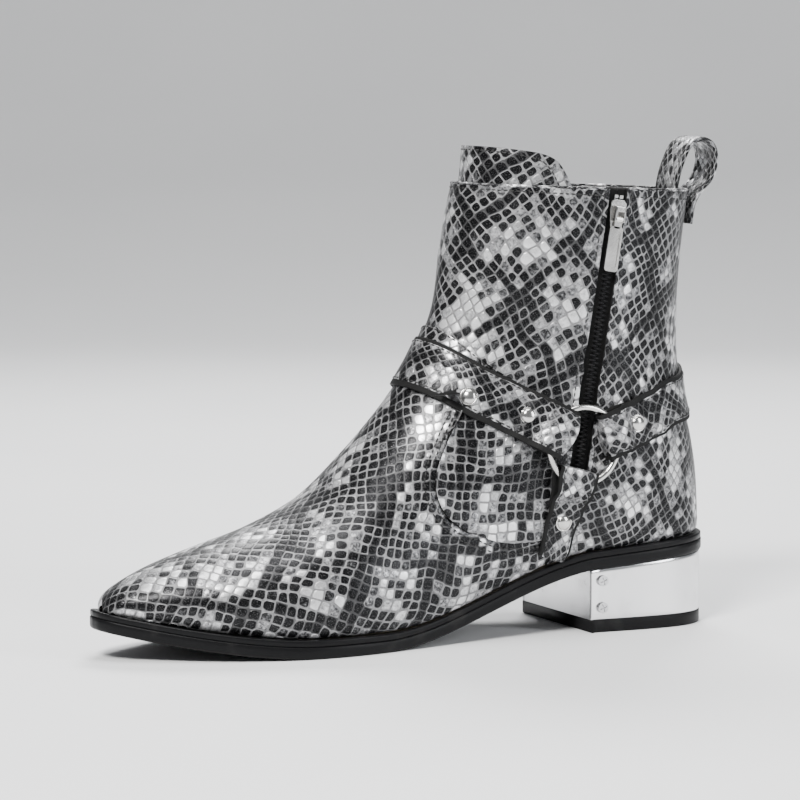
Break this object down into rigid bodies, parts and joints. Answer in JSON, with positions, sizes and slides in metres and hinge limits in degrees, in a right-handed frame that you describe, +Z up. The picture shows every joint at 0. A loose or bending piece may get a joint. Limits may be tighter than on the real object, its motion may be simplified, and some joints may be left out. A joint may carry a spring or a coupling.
{
  "type": "harness ankle boot",
  "caption": "Right pointed-toe ankle boot in snake-embossed leather with inner side zip, ring harness, riveted straps, pull loop and metal-clad block heel.",
  "frame": {"origin": "on the floor, under the middle of the boot's box", "axes": "+Z up, toe towards -Y, inner side towards +X"},
  "size_m": [0.101, 0.3129, 0.2266],
  "materials": {
    "snake_leather": "snake-embossed leather, semi-gloss, black and silver-grey scales",
    "lining_leather": "smooth black lining leather",
    "stiffener_board": "pressed fibre board",
    "cork": "pressed cork",
    "shank_steel": "spring steel strip",
    "welt": "satin black",
    "sole_rubber": "satin black rubber",
    "heel_block": "moulded heel block",
    "polished_plate": "polished metal plate with fine brushing",
    "plated_steel": "nickel-plated steel",
    "zip_tape": "woven black polyester tape",
    "zip_teeth": "black coil teeth",
    "nickel": "nickel plate, lightly brushed"
  },
  "bodies": {
    "boot": {"vamp": "snake_leather", "front_panel": "snake_leather", "rear_quarter_inner": "snake_leather", "rear_quarter_outer": "snake_leather", "ankle_band": "snake_leather", "tongue": "snake_leather", "lining": "lining_leather", "toe_puff": "stiffener_board", "heel_counter": "stiffener_board", "back_seam_strip": "stiffener_board", "insole_board": "stiffener_board", "cork_filler": "cork", "steel_shank": "shank_steel", "sock_liner": "lining_leather", "welt": "welt", "outsole": "sole_rubber", "heel_block": "heel_block", "heel_plate": "polished_plate", "heel_breast_plate": "polished_plate", "heel_plate_screws": "plated_steel", "heel_fixing_screw": "plated_steel", "top_lift": "sole_rubber", "top_lift_nails": "plated_steel", "zip_tape_front": "zip_tape", "zip_tape_rear": "zip_tape", "zip_teeth_front": "zip_teeth", "zip_teeth_rear": "zip_teeth", "zip_top_stops": "plated_steel", "zip_bottom_stop": "plated_steel", "front_strap": "snake_leather", "rear_strap": "snake_leather", "down_strap_inner": "snake_leather", "down_strap_outer": "snake_leather", "strap_rivets": "nickel", "pull_loop": "snake_leather"},
    "slider": {"zip_slider": "nickel"},
    "puller": {"zip_puller": "nickel"},
    "inner_ring": {"ring_inner": "nickel"},
    "outer_ring": {"ring_outer": "nickel"}
  },
  "joints": [
    {"name": "zip_slide", "type": "slide", "parent": "boot", "child": "slider", "axis": [0, -0.1612, -0.9869], "range_m": [0, 0.064]},
    {"name": "puller_swing", "type": "hinge", "parent": "slider", "child": "puller", "pos_m": [0.0418, 0.08624, 0.19045], "axis": [0, -0.9869, 0.1612], "range_deg": [0, 150]},
    {"name": "inner_ring_spin", "type": "hinge", "parent": "boot", "child": "inner_ring", "pos_m": [0.0433, 0.06805, 0.088], "axis": [1, 0, 0], "continuous": true},
    {"name": "outer_ring_spin", "type": "hinge", "parent": "boot", "child": "outer_ring", "pos_m": [-0.04126, 0.06805, 0.088], "axis": [1, 0, 0], "continuous": true}
  ]
}
